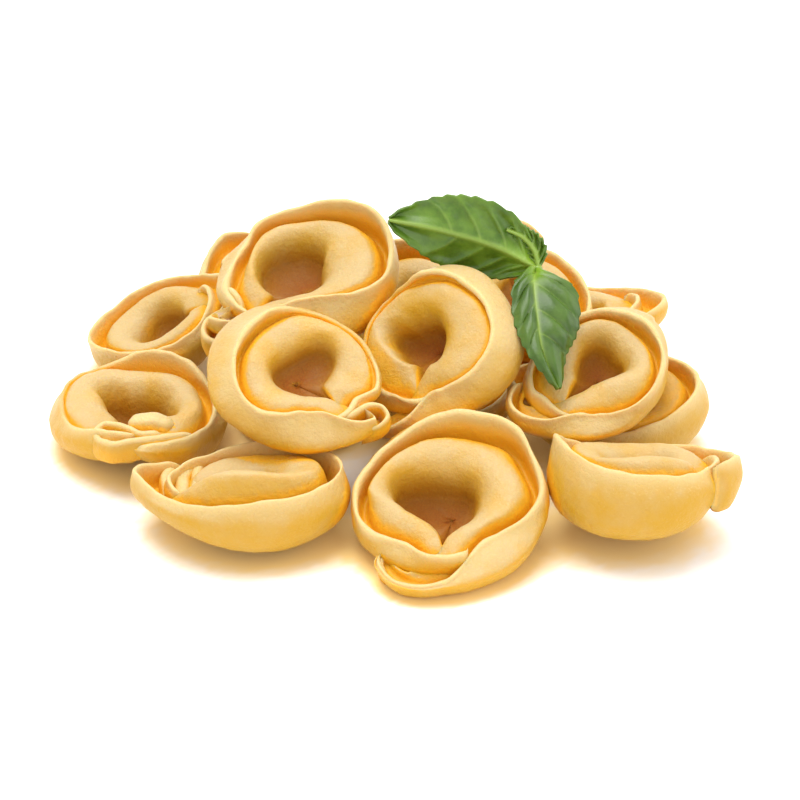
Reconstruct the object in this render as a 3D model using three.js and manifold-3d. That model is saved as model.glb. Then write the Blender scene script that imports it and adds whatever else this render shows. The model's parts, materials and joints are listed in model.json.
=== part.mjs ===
// A heap of cooked tortellini with a sprig of basil on top. Millimetres, +Z up, the front of the heap towards -Y.
// A tortellino is a half-moon of dough wrapped round a finger: a filled roll round a hole, and outside it a thin
// collar, the sealed edge of the dough. Its two ends lap over each other in a knot, with a pocket between them.
// Each piece has its place in the heap, and the pieces push each other aside until they only touch.
import * as THREE from "three";
import { mergeVertices } from "three/addons/utils/BufferGeometryUtils.js";
import Module from "manifold-3d";

const wasm = await Module();
wasm.setup();
const radians = THREE.MathUtils.degToRad;

// ---- Driving sizes of one tortellino ----------------------------------------------------------------------------
const DOUGH = 1.7; // thickness of the collar: two layers pressed together
const BULGE = 0.9; // the wall's widest place stands out this far beyond the collar's edge
const WIDTH_SHARE = 0.91; // the ring is narrower across than from the knot to its back
const CENTRE_DEPTH = 5; // depth below the open face of the point that a piece is turned round
const UNDER_LAP = 22; // degrees that the inner end runs past the knot's middle

// The section at angles from the knot's middle, in degrees: 180 is the back of the ring, and below 0 an end has
// passed the middle of the knot. Radii run from the hole's axis, and heights from the plane of the open face.
//   over, under: middle of the collar's edge, in the end that lies outside and in the one that lies inside
//   lift: height of the collar's edge     deep: depth of the underside
//   ridge, crest: radius and height of the top of the filled roll
//   hole, waist: radius and depth of the narrowest place of the hole
//   groove: depth of the furrow between the roll and the collar
const SECTIONS = [
  { at: 180, over: 16.0, under: 16.0, lift: 3.0, deep: 11.0, ridge: 11.8, crest: 0.2, hole: 5.0, waist: 9.0, groove: 3.6 },
  { at: 115, over: 15.8, under: 15.8, lift: 0.9, deep: 11.4, ridge: 11.9, crest: 0.2, hole: 5.3, waist: 9.0, groove: 3.6 },
  { at: 66, over: 15.8, under: 15.2, lift: -0.3, deep: 10.8, ridge: 11.2, crest: -0.2, hole: 6.0, waist: 8.2, groove: 3.6 },
  { at: 30, over: 16.8, under: 14.6, lift: -0.4, deep: 9.4, ridge: 9.6, crest: -1.2, hole: 6.6, waist: 6.8, groove: 3.8 },
  { at: 6, over: 19.0, under: 14.4, lift: 0.2, deep: 8.4, ridge: 8.8, crest: -2.2, hole: 7.0, waist: 5.4, groove: 4.2 },
  { at: -8, over: 20.6, under: 14.2, lift: 0.2, deep: 7.6, ridge: 13.2, crest: -3.4, hole: 12.2, waist: 5.0, groove: 4.4 },
  { at: -24, over: 20.4, under: 13.6, lift: -0.4, deep: 7.0, ridge: 18.4, crest: -3.4, hole: 17.2, waist: 4.8, groove: 4.4 },
  { at: -44, over: 17.9, under: 13.4, lift: -1.2, deep: 6.4, ridge: 16.4, crest: -3.4, hole: 15.4, waist: 4.4, groove: 4.0 },
];
const STATIONS = 10; // steps of the sweep from the back of the ring to one end
const WALL_POINTS = 4; // points of the section on the outer wall
const HOLE_POINTS = 4; // points from under the roll, up through the hole, to the crest
const STEEP = 0.82; // 1 for a round roll, less for one with steeper sides in the hole

// One size of the section at an angle from the knot, on a smooth curve through the rows of SECTIONS.
function sectionSize(name, angle) {
  const rows = SECTIONS;
  let i = 0;
  while (i < rows.length - 2 && angle < rows[i + 1].at) i++;
  const slope = (k) => {
    if (k === 0 || k === rows.length - 1) return 0;
    return (rows[k + 1][name] - rows[k - 1][name]) / (rows[k + 1].at - rows[k - 1].at);
  };
  const span = rows[i + 1].at - rows[i].at;
  const t = THREE.MathUtils.clamp((angle - rows[i].at) / span, 0, 1);
  const ease = t * t * (3 - 2 * t);
  const bow = span * t * (1 - t) * ((1 - t) * slope(i) - t * slope(i + 1));
  return rows[i][name] * (1 - ease) + rows[i + 1][name] * ease + bow;
}

// The value at a direction, on a smooth closed line through [direction, value] pairs in rising order.
function lineValue(points, heading) {
  const around = (value) => ((value % 360) + 360) % 360;
  const at = around(heading - points[0][0]);
  const places = points.map(([direction, value]) => [around(direction - points[0][0]), value]);
  const count = places.length;
  let i = count - 1;
  while (places[i][0] > at) i--;
  const t = (at - places[i][0]) / around(places[(i + 1) % count][0] - places[i][0]);
  const [a, b, c, d] = [-1, 0, 1, 2].map((k) => places[(i + k + count) % count][1]);
  return b + 0.5 * t * (c - a + t * (2 * a - 5 * b + 4 * c - d + t * (3 * (b - c) + d - a)));
}

// The closed outline of the section at one station, as [radius, height] pairs: from the collar's edge down the wall,
// under the roll, up through the hole, over the crest and out of the furrow.
function sectionOutline(angle, isOver, shape, turn) {
  const { clamp, lerp, smoothstep } = THREE.MathUtils;
  const heading = THREE.MathUtils.radToDeg(turn) + shape.knot;
  const facing = (direction) => Math.cos(radians(heading - direction));
  const wave = (count, phase) => Math.sin(count * turn + phase + shape.phase);
  const strip = isOver ? "outer " : "inner ";
  const size = (name, base = sectionSize(name, angle)) => {
    const line = shape.lines[name];
    let value = line ? lerp(base, lineValue(line, heading), smoothstep(angle, 4, 28)) : base;
    for (const [own, direction, spread, amount] of shape.swell) {
      const away = (((heading - direction + 180) % 360) + 360) % 360 - 180;
      if (own === name || own === strip + name) value += amount * Math.exp(-((away / spread) ** 2));
    }
    return value;
  };
  const loose = smoothstep(angle, -20, 40);
  const tuck = shape.tuck * loose;
  const pressed = tuck / 2.4;
  let wide = size(isOver ? "over" : "under") + DOUGH / 2 + BULGE * loose + 0.45 * wave(2, 0.4) + 0.25 * wave(3, 2.1);
  const rim = size("collar", wide - DOUGH / 2 - BULGE * loose - tuck);
  wide = Math.max(wide, rim + DOUGH / 2 + 0.2);
  const bottom = -size("deep") * shape.depth + 0.3 * wave(2, 4.0);
  const level = bottom * (0.34 + 0.05 * shape.tuck); // the height at which the wall is widest
  const seal = shape.seal * smoothstep(facing(shape.sealed), 0.1, 0.75) * smoothstep(angle, 20, 70);
  const crest = Math.max(size("crest") + shape.rise * loose + 0.35 * wave(3, 1.3), bottom + 2.2);
  const lift = lerp(
    size("lift") + shape.lift * loose + 0.5 * wave(2, 2.6) + 0.35 * wave(3, 0.2),
    crest - 0.5,
    seal,
  );
  const inside = rim - DOUGH / 2;
  const shoulder = inside - lerp(Math.max(shape.gap * (1 - 0.8 * pressed), 0.15), 0.1, seal);
  const ridge = Math.min(size("ridge", sectionSize("ridge", angle) - 0.35 * tuck), shoulder - 0.5);
  const edge = Math.min(crest, lift);
  const furrow = lerp(lerp(-size("groove"), edge - 1.1, 0.85 * pressed), edge - 0.15, seal);
  const groove = clamp(furrow, bottom + 0.8, edge - 0.3);
  const hole = Math.min(size("hole") * (1 + 0.1 * wave(3, 0.5)), ridge - 0.7);
  const waist = clamp(-size("waist") * shape.depth, bottom + 0.6, crest - 1);
  const foot = lerp(hole, wide, 0.45); // radius of the lowest place of the underside
  const points = [[rim + DOUGH / 2, lift]];
  for (let k = 0; k <= WALL_POINTS; k++) {
    const a = (k / WALL_POINTS) * (Math.PI / 2);
    const across = clamp(Math.cos(a), 0, 1) ** 0.85;
    points.push([foot + (wide - foot) * across, level + (bottom - level) * Math.sin(a) ** 0.95]);
  }
  for (let k = 1; k <= HOLE_POINTS; k++) {
    const a = (-1 + k / 2) * (Math.PI / 2);
    if (a < 0) points.push([foot - (foot - hole) * Math.cos(a), waist + (waist - bottom) * Math.sin(a)]);
    else {
      const across = clamp(Math.cos(a), 0, 1) ** STEEP;
      points.push([ridge - (ridge - hole) * across, waist + (crest - waist) * Math.sin(a) ** STEEP]);
    }
  }
  points.push([lerp(ridge, shoulder, 0.8), lerp(crest, groove, 0.35)], [shoulder, groove], [inside, groove]);
  points.push([inside, lift]);
  return points;
}

// Half of the ring, from its back to one end, as a closed geometry. The end that lies outside comes from +X.
function halfRing(isOver, shape) {
  const side = isOver === shape.mirror > 0 ? 1 : -1;
  const past = isOver ? shape.lap : UNDER_LAP;
  const positions = [];
  const outlines = [];
  for (let i = 0; i <= shape.stations; i++) {
    const t = i / shape.stations;
    const angle = 180 - (180 + past) * (0.5 * t + 0.5 * Math.sin((t * Math.PI) / 2));
    const turn = i === 0 ? Math.PI : radians(angle) * side; // both halves share the section at the back
    const outline = sectionOutline(angle, isOver, shape, turn);
    outlines.push(outline);
    for (const [radius, height] of outline) {
      const x = i === 0 ? 0 : Math.sin(turn) * radius * WIDTH_SHARE * shape.width;
      const y = -Math.cos(turn) * radius;
      const bend = shape.bend * ((y / 16) ** 2 - 0.35);
      positions.push(x * shape.size, y * shape.size, (height + bend + CENTRE_DEPTH) * shape.size);
    }
  }
  const count = outlines[0].length;
  const index = [];
  const face = (a, b, c) => index.push(...(side > 0 ? [a, c, b] : [a, b, c]));
  for (let i = 0; i < shape.stations; i++)
    for (let j = 0; j < count; j++) {
      const a = i * count + j;
      const b = i * count + ((j + 1) % count);
      face(a, b, a + count);
      face(b, b + count, a + count);
    }
  for (const row of [0, shape.stations]) {
    const flat = outlines[row].map(([r, z]) => new THREE.Vector2(r, z));
    const along = THREE.ShapeUtils.area(flat) > 0;
    for (const [a, b, c] of THREE.ShapeUtils.triangulateShape(flat, [])) {
      const counter = THREE.ShapeUtils.area([flat[a], flat[b], flat[c]]) > 0;
      const base = row * count;
      if ((counter === along) === (row === 0)) face(base + a, base + c, base + b);
      else face(base + a, base + b, base + c);
    }
  }
  return geometryFrom(positions, index);
}

// ---- Solids and geometries --------------------------------------------------------------------------------------
function solidOf(geometry) {
  const merged = mergeVertices(geometry, 1e-4);
  return new wasm.Manifold(
    new wasm.Mesh({
      numProp: 3,
      vertProperties: merged.attributes.position.array,
      triVerts: new Uint32Array(merged.index.array),
    }),
  );
}

const SLIVER = 0.05; // edges shorter than this are taken out

// Slivers that a join leaves along the seam are taken out.
function geometryOf(solid) {
  const mesh = solid.simplify(SLIVER).getMesh();
  const geometry = new THREE.BufferGeometry();
  geometry.setAttribute("position", new THREE.BufferAttribute(mesh.vertProperties, 3));
  geometry.setIndex(new THREE.BufferAttribute(mesh.triVerts, 1));
  return geometry;
}

// The turn of a piece: first about the upright axis, so that its knot points to `knot`, and then over, so that its
// open face leans to `lean` by `tilt`. Directions are degrees from the front (-Y) round to +X.
function turnOf({ knot, lean, tilt }) {
  const spin = new THREE.Quaternion().setFromAxisAngle(new THREE.Vector3(0, 0, 1), radians(knot));
  const axis = new THREE.Vector3(Math.cos(radians(lean)), Math.sin(radians(lean)), 0);
  const over = new THREE.Quaternion().setFromAxisAngle(axis, radians(tilt));
  return over.multiply(spin);
}

// ---- The heap ---------------------------------------------------------------------------------------------------
const SINK = 0.25; // what lies on the table is flattened by this much

// What most pieces have. tuck: how far the collar is drawn in over the furrow; lift: of the collar's edge; rise: of
// the roll's top; depth: share of the full depth; width: share of the full width; bend: of the whole ring, up at the
// knot and the back; lap: degrees that the outer end runs past the knot; mirror: -1 for an outer end from -X; gap:
// width of the furrow; seal, sealed: share by which the furrow is pressed shut, and the direction; swell: sizes that
// are larger or smaller in one direction, as name, direction, spread in degrees and amount; lines: radii of the
// collar, the roll's ridge and the hole, as closed lines of [direction, radius] round the ring.
const PLAIN = {
  ...{ tuck: 0, lift: 0, rise: 0, depth: 0.94, width: 1, bend: 1.0, lap: 38, mirror: 1, gap: 1.1, seal: 0, sealed: 0 },
  ...{ swell: [], lines: {}, stations: STATIONS },
};

// Name, place of the turning point (z 0: on the table), directions of the knot and of the lean in degrees from the
// front round to +X, tilt, size, phase of the waves, and what differs from PLAIN.
const PIECES = [
  ["floor_front", [10.8, -26, 0], -8, -15, 19, 1.05, 0.6, {
    ...{ lap: 40, width: 1.07, gap: 1.2 },
    swell: [["over", -20, 30, -1.6], ["outer lift", -20, 32, -3.2], ["crest", -95, 40, 0.8]],
    lines: {
      collar: [
        ...[[-178, 14.9], [-146, 14.4], [-120, 15], [-95, 16.2], [-68, 16], [-40, 13.4], [-5, 13], [15, 13.3]],
        ...[[30, 12.2], [48, 12.6], [68, 14.8], [85, 16.3], [110, 15.9], [132, 16.3], [156, 15.1]],
      ],
      ridge: [
        ...[[-175, 11.4], [-140, 12.5], [-115, 13.6], [-96, 13.7], [-78, 10.4], [-50, 8], [-8, 7.6], [44, 9]],
        ...[[66, 10.8], [90, 11.3], [112, 10.6], [142, 10.2]],
      ],
      hole: [[-170, 5], [-140, 6.4], [-110, 9], [-80, 8], [-45, 6], [-8, 5.6], [45, 5], [90, 4.2], [130, 4.4]],
    },
  }],
  ["floor_left", [-24, -24.5, 0], -88, 180, 12, 1.0, 2.2, {
    ...{ lap: 42, width: 0.9, depth: 0.84, rise: 2.4 },
    swell: [["crest", 10, 60, 1.6], ["ridge", 20, 50, 1.2]],
  }],
  ["floor_right", [41.4, -23.5, 0], 86, 180, 20, 0.97, 4.1, {
    ...{ lift: 0.6, width: 0.95, depth: 1.12, rise: 1.8, lap: 32 },
    swell: [["crest", 0, 60, 1], ["hole", 0, 180, -1.6], ["outer deep", 52, 34, 1.2], ["outer lift", 56, 26, 1.6], ["over", 66, 40, -2.6]],
  }],
  ["floor_far_left", [-48.8, 8.5, 0], -14, 180, 3, 1.05, 5.3, {
    ...{ tuck: 1, width: 1.02, depth: 0.84, rise: 1.0, seal: 1, sealed: -95 },
    lines: {
      collar: [
        ...[[-172, 13.2], [-143, 14.6], [-120, 14.9], [-90, 14.2], [-60, 14.2], [-30, 14.8], [0, 16.4], [25, 17.2]],
        ...[[50, 17], [80, 15.6], [110, 14.4], [138, 13.4], [162, 12.6]],
      ],
      ridge: [
        ...[[-165, 9.8], [-141, 11.4], [-120, 11.8], [-95, 9], [-60, 8], [-20, 7.5], [20, 8], [50, 12], [75, 12.4]],
        ...[[98, 10], [140, 8.4]],
      ],
      hole: [[-165, 5.4], [-144, 7.6], [-120, 7], [-95, 4.5], [-30, 4.5], [30, 5], [70, 8], [96, 6.5], [140, 4.6]],
    },
  }],
  ["floor_far_right", [42.2, 9, 0], -90, 0, 14, 0.96, 1.1, { tuck: 1, width: 0.88, depth: 0.94 }],
  ["floor_middle", [9, 20, 0], 120, 0, 5, 0.88, 2.9, { depth: 0.85, stations: 8 }],
  ["floor_inner_left", [-18.3, 17, 0], 180, 180, 0, 0.8, 0.2, { depth: 0.62, stations: 8 }],
  ["floor_back_left", [-45.5, 36, 0], 100, -75, 26, 0.84, 2.7, {}],
  ["floor_back_right", [36.5, 48.5, 0], 90, 180, 10, 0.86, 5.9, { depth: 0.84 }],
  ["upper_right", [34.2, 1.5, 16.5], -42, 0, 23, 0.93, 0.9, {
    ...{ tuck: 1.6, depth: 0.78, width: 0.9 },
    swell: [["inner lift", 10, 55, -1.4], ["crest", 10, 60, 0.8], ["over", 80, 55, -1.5]],
    lines: {
      collar: [
        ...[[-172, 14], [-140, 14.6], [-100, 15], [-65, 15.4], [-45, 14.6], [-20, 13.6], [3, 12.8], [31, 14], [52, 14.9]],
        ...[[72, 14.8], [94, 13.8], [115, 13], [143, 12.6], [166, 13.2]],
      ],
      ridge: [
        ...[[-166, 11.4], [-120, 9.5], [-80, 8], [-48, 7.6], [0, 6.2], [35, 7], [60, 9], [78, 10.8], [98, 10.6]],
        ...[[131, 10], [165, 11]],
      ],
      hole: [[-166, 6.8], [-120, 5], [-60, 4.4], [0, 3.2], [50, 3.6], [90, 5], [130, 5.4], [165, 6.4]],
    },
  }],
  ["upper_middle", [10.4, 6, 20.5], -25, -43, 44, 0.94, 3.7, {
    ...{ tuck: 2.4, seal: 1, sealed: -110 },
    swell: [["over", 62, 34, 4.2], ["lift", 165, 60, -1.4]],
    lines: {
      collar: [
        ...[[-178, 13.4], [-130, 15], [-90, 14.5], [-45, 13.1], [-11, 12.4], [17, 13.3], [34, 15.1], [50, 16.5]],
        ...[[64, 17.1], [76, 16.8], [90, 16], [104, 15.2], [120, 14.2], [145, 13.8]],
      ],
      ridge: [
        ...[[-178, 10.6], [-148, 12.6], [-124, 13.4], [-95, 9], [-60, 6.6], [-25, 6], [5, 7.6], [32, 10.1]],
        ...[[62, 10.3], [95, 9.6], [140, 10]],
      ],
      hole: [[-178, 4.6], [-147, 6.6], [-125, 10], [-95, 6.6], [-40, 4.4], [0, 4.4], [59, 2.9], [113, 4]],
    },
  }],
  ["upper_left", [-18, -3.5, 17], 52, 6, 27, 0.94, 1.9, {
    ...{ tuck: 1.9, mirror: -1, lap: 36, depth: 0.72, seal: 1, sealed: 120 },
    swell: [["over", -62, 30, 1.6], ["outer lift", 5, 35, 1.6]],
    lines: {
      collar: [
        ...[[-175, 14.2], [-155, 13.2], [-132, 12.2], [-109, 12.1], [-83, 12.7], [-63, 13.5], [-46, 13.9], [-30, 13.7]],
        ...[[-14, 12.6], [4, 11.4], [25, 12.2], [42, 15], [80, 16.4], [120, 15.6], [150, 14.6]],
      ],
      ridge: [
        ...[[-175, 10.9], [-150, 9.6], [-117, 8.9], [-74, 8.9], [-42, 9.4], [-16, 8.4], [27, 8.6], [52, 10], [80, 12]],
        ...[[100, 13.6], [122, 13.6], [147, 12.4]],
      ],
      hole: [[-175, 4.8], [-110, 4.2], [-50, 4.2], [10, 4.9], [70, 5.4], [95, 7], [120, 9], [144, 8.4], [167, 6]],
    },
  }],
  ["top", [-16.5, 27.5, 25.6], -55, -20, 21, 1.05, 3.3, {
    depth: 0.84,
    swell: [["outer lift", 10, 40, 2.4]],
    lines: {
      collar: [
        ...[[-175, 15.3], [-148, 16.6], [-130, 14.6], [-104, 14], [-75, 14.4], [-46, 12.6], [-28, 10.6], [8, 10.4]],
        ...[[34, 12], [52, 14.6], [69, 16.9], [82, 17.2], [114, 17], [133, 16.2], [155, 15.2]],
      ],
      ridge: [
        ...[[-175, 12.6], [-150, 13], [-110, 10.6], [-60, 8.4], [0, 7.8], [30, 8.8], [46, 9.9], [70, 11.7], [95, 12.3]],
        [150, 12.4],
      ],
      hole: [[-165, 9.6], [-140, 9.8], [-100, 7.4], [-47, 5.6], [0, 4], [60, 3.2], [130, 3.3], [152, 6.2]],
    },
  }],
  ["rear_right", [25, 33, 16.5], 200, 30, 18, 0.88, 2.0, { depth: 0.8 }],
  ["rear_left", [-24, 56, 0], -140, 0, 12, 0.88, 4.6, { depth: 0.85 }],
  ["rear_middle", [0, 46, 6], 20, -20, 18, 0.86, 5.0, { depth: 0.85 }],
];

// The pieces start from their places in the list and push each other aside until they only touch. A region that two
// bodies share pushes them apart along the direction in which it is thinnest.
const ROUNDS = 90;
const FALL = 0.1; // how far a piece sinks in one round
const PULL = 0.05; // share of the way back to its own place that a piece goes in one round
const UP_COST = 1.15; // pieces rather move sideways than up
const BODY_SCALE = 1.02; // the bodies that push each other are this much larger, which leaves a gap

function settle(pieces) {
  for (const piece of pieces) {
    const solid = solidOf(piece.geometry);
    piece.body = solid.scale(BODY_SCALE);
    piece.floor = -solid.boundingBox().min[2] - SINK;
    const [x, y, z] = piece.place;
    piece.home = [x, y, Math.max(piece.floor, z)];
    piece.at = piece.home.slice();
    piece.weight = z > 0 ? 1 : 3; // what lies on the floor hardly slides
  }
  for (let round = 0; round < ROUNDS; round++) {
    const ease = Math.max(0, 1 - (round / ROUNDS) * 1.25); // the last rounds only push
    for (const piece of pieces) {
      for (const axis of [0, 1, 2]) piece.at[axis] += (piece.home[axis] - piece.at[axis]) * PULL * ease;
      piece.at[2] = Math.max(piece.floor, piece.at[2] - FALL * ease);
      piece.now = piece.body.translate(piece.at);
      piece.box = piece.now.boundingBox();
    }
    let deepest = 0;
    for (let i = 0; i < pieces.length; i++)
      for (let j = i + 1; j < pieces.length; j++) {
        const [a, b] = [pieces[i], pieces[j]];
        if ([0, 1, 2].some((k) => a.box.min[k] > b.box.max[k] || b.box.min[k] > a.box.max[k])) continue;
        const shared = a.now.intersect(b.now);
        if (shared.volume() < 1e-3) continue;
        for (const part of shared.decompose()) {
          const box = part.boundingBox();
          const extent = [0, 1, 2].map((k) => box.max[k] - box.min[k]);
          const cost = [extent[0], extent[1], extent[2] * UP_COST];
          const axis = cost.indexOf(Math.min(...cost));
          const sign = a.at[axis] > b.at[axis] ? 1 : -1;
          const push = Math.min(extent[axis], 2) * 0.5;
          deepest = Math.max(deepest, extent[axis]);
          const aFixed = axis === 2 && sign < 0 && a.at[2] <= a.floor;
          const bFixed = axis === 2 && sign > 0 && b.at[2] <= b.floor;
          const share = aFixed ? 0 : bFixed ? 1 : axis === 2 ? 0.5 : b.weight / (a.weight + b.weight);
          a.at[axis] += sign * push * share;
          b.at[axis] -= sign * push * (1 - share);
        }
      }
    if (ease === 0 && deepest === 0) break;
  }
}

// ---- The basil --------------------------------------------------------------------------------------------------
// Thin leaves on a short stem. `rib` runs from the stem to the tip of a leaf, `across` points to its left edge at
// the stem and at the tip, `left` and `right` are the greatest half widths, `fold` is the rise of the edges per
// millimetre from the rib, `curl` a wave of the edges and `teeth` half the depth of the notches.
const LEAF = 0.6; // thickness of a leaf
const LEAF_COLUMNS = 3; // on each side of the rib
const LEAVES = [
  {
    rib: [[27, 16, 33.6], [19.5, 18.8, 36.6], [9.5, 20.6, 39.2], [-1, 20.8, 41.4]],
    across: [[0.25, 0.25, 0.94], [0.2, 0.3, 0.93]],
    ...{ left: 7.6, right: 7.2, fold: 0.16, curl: 0.8, teeth: 0.5, widest: 0.48, rows: 11 },
  },
  {
    rib: [[26.4, 15.4, 33.6], [26, 10.5, 34], [26.4, 3, 30.4], [27.2, -2.5, 26.4], [29.8, -7.2, 20.9]],
    across: [[0.95, 0.2, 0.1], [0.9, 0.3, -0.2]],
    ...{ left: 8.2, right: 4.1, fold: -0.2, curl: -0.6, teeth: 0.4, widest: 0.4, rows: 10 },
  },
  {
    rib: [[27, 16.2, 33.8], [27, 18, 37], [25.6, 19.6, 39.6], [23.4, 20.8, 41]],
    across: [[0.9, -0.2, -0.3], [0.7, -0.2, 0.4]],
    ...{ left: 2.9, right: 2.4, fold: 0.3, curl: 0, teeth: 0.25, widest: 0.4, rows: 6 },
  },
];
const STEM = [[27, 15.6, 34.2], [26.4, 17.2, 32.2], [25, 19.6, 29.4]];
const STEM_RADIUS = 1.0;
const STEM_SIDES = 7;
const STEM_RINGS = 3;

const curveThrough = (points) => new THREE.CatmullRomCurve3(points.map((point) => new THREE.Vector3(...point)));

function geometryFrom(places, index) {
  const geometry = new THREE.BufferGeometry();
  geometry.setAttribute("position", new THREE.Float32BufferAttribute(places, 3));
  geometry.setIndex(index);
  return geometry;
}

// The part of a vector that is square to a direction.
const squareTo = (vector, along) => vector.clone().addScaledVector(along, -vector.dot(along)).normalize();

// Share of the half width of a leaf at t, 0 at the stem and 1 at the tip: a narrow foot, the widest place, a point.
function leafWidth(t, widest) {
  const s = t < widest ? 0.5 * (t / widest) : 0.5 + 0.5 * ((t - widest) / (1 - widest));
  return 0.06 + 0.94 * Math.sin(Math.PI * s) ** 0.85;
}

function leafSolid({ rib, across, left, right, fold, curl, teeth, widest, rows }) {
  const curve = curveThrough(rib);
  const [first, last] = across.map((point) => new THREE.Vector3(...point));
  const columns = 2 * LEAF_COLUMNS + 1;
  const places = [];
  for (const face of [0.5, -0.5])
    for (let i = 0; i <= rows; i++) {
      const t = i / rows;
      const along = curve.getTangent(t);
      const aside = squareTo(first.clone().lerp(last, t), along);
      const normal = new THREE.Vector3().crossVectors(along, aside);
      for (let j = 0; j < columns; j++) {
        const u = j / LEAF_COLUMNS - 1; // 1 at the left edge
        const notched = Math.abs(u) > 0.99 && i > 0 && i < rows;
        const tooth = notched ? (i % 2 ? teeth : -teeth) : 0;
        const reach = u * (u > 0 ? left : right) * leafWidth(t, widest) + tooth * Math.sign(u);
        const rise = fold * Math.abs(reach) + curl * Math.sin(2.4 * Math.PI * t + 2 * u) * Math.abs(u);
        const place = curve.getPoint(t).addScaledVector(aside, reach);
        places.push(...place.addScaledVector(normal, rise + face * LEAF).toArray());
      }
    }
  const index = [];
  const layer = (rows + 1) * columns;
  const quad = (a, b, c, d) => index.push(a, b, c, a, c, d);
  for (let i = 0; i < rows; i++) {
    for (let j = 0; j < columns - 1; j++) {
      const a = i * columns + j;
      const c = a + columns + 1;
      index.push(a, a + columns, c, a, c, a + 1);
      index.push(layer + a, layer + c, layer + a + columns, layer + a, layer + a + 1, layer + c);
    }
    const a = i * columns;
    quad(a, layer + a, layer + a + columns, a + columns);
    const b = a + columns - 1;
    quad(b, b + columns, layer + b + columns, layer + b);
  }
  for (let j = 0; j < columns - 1; j++) {
    quad(j, j + 1, layer + j + 1, layer + j);
    const b = rows * columns + j;
    quad(b, layer + b, layer + b + 1, b + 1);
  }
  return solidOf(geometryFrom(places, index));
}

function stemSolid() {
  const curve = curveThrough(STEM);
  const places = [];
  const index = [];
  for (let i = 0; i <= STEM_RINGS; i++) {
    const along = curve.getTangent(i / STEM_RINGS);
    const aside = squareTo(new THREE.Vector3(1, 0, 0), along);
    const other = new THREE.Vector3().crossVectors(along, aside);
    const a = i * STEM_SIDES;
    const b = a + STEM_SIDES;
    for (let j = 0; j < STEM_SIDES; j++) {
      const turn = (j / STEM_SIDES) * 2 * Math.PI;
      const place = curve.getPoint(i / STEM_RINGS).addScaledVector(aside, STEM_RADIUS * Math.cos(turn));
      places.push(...place.addScaledVector(other, STEM_RADIUS * Math.sin(turn)).toArray());
      const next = (j + 1) % STEM_SIDES;
      if (i < STEM_RINGS) index.push(a + j, a + next, b + next, a + j, b + next, b + j);
    }
  }
  const end = STEM_RINGS * STEM_SIDES;
  for (let j = 1; j < STEM_SIDES - 1; j++) {
    index.push(0, j + 1, j);
    index.push(end, end + j, end + j + 1);
  }
  return solidOf(geometryFrom(places, index));
}

// ---- The group --------------------------------------------------------------------------------------------------
const group = new THREE.Group();
const pasta = new THREE.MeshStandardMaterial({ color: 0xe9b95a, roughness: 0.55, metalness: 0 });
const green = new THREE.MeshStandardMaterial({ color: 0x4f8a2a, roughness: 0.5, metalness: 0 });

const pieces = PIECES.map(([name, place, knot, lean, tilt, size, phase, own]) => {
  const shape = { ...PLAIN, knot, lean, tilt, size, phase, ...own };
  const ring = solidOf(halfRing(true, shape)).add(solidOf(halfRing(false, shape)));
  const geometry = geometryOf(ring).applyQuaternion(turnOf(shape));
  return { name, place, geometry };
});
settle(pieces);

function addMesh(name, geometry, material) {
  const mesh = new THREE.Mesh(geometry, material);
  mesh.name = name;
  group.add(mesh);
}

for (const { name, geometry, at } of pieces) {
  geometry.translate(...at);
  const place = geometry.attributes.position;
  for (let i = 0; i < place.count; i++) place.setZ(i, Math.max(0, place.getZ(i)));
  addMesh(`tortellino_${name}`, geometry, pasta.clone());
}
const sprig = LEAVES.reduce((sum, leaf) => sum.add(leafSolid(leaf)), stemSolid());
addMesh("basil_sprig", geometryOf(sprig), green);

// The heap stands over the origin.
const whole = new THREE.Box3().setFromObject(group);
const middle = whole.getCenter(new THREE.Vector3());
for (const mesh of group.children) mesh.geometry.translate(-middle.x, -middle.y, -whole.min.z);

export default group;
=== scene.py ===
"""A heap of cooked tortellini with a sprig of basil, dressed for the picture.

Every tortellino is one strip of dough, swept round its ring from the end that lies outside to the end that lies
inside, with its filled roll, its furrow and its standing collar. Lengths in the tables are millimetres.
"""

import json
from math import copysign, cos, degrees, exp, pi, radians, sin, sqrt

import bpy
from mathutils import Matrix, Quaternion, Vector, noise
from mathutils.bvhtree import BVHTree

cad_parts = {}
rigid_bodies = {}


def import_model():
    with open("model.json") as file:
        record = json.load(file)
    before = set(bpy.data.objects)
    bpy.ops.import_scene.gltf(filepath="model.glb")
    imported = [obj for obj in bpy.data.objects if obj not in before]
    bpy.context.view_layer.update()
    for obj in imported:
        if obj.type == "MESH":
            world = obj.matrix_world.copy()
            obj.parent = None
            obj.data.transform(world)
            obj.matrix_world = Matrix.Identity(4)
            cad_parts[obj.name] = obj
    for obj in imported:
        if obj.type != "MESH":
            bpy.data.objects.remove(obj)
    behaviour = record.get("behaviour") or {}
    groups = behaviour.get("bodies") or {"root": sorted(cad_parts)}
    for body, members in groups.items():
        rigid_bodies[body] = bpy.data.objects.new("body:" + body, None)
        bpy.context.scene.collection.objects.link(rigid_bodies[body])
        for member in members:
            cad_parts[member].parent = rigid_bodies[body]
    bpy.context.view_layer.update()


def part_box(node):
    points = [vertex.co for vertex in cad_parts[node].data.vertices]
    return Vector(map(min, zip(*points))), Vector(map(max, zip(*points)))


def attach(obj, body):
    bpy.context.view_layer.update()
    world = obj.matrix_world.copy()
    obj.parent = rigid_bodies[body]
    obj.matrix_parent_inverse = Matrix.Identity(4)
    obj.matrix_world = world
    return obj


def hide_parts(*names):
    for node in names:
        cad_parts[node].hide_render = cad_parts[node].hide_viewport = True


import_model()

bl_info = {
    "name": "Tortellini with basil",
    "version": (1, 0, 0),
    "blender": (4, 5, 0),
    "location": "3D View > Sidebar > Pasta",
    "description": "Makes a heap of cooked tortellini with a sprig of basil on a pale table",
    "category": "Add Mesh",
}

MM = 0.001


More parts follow.
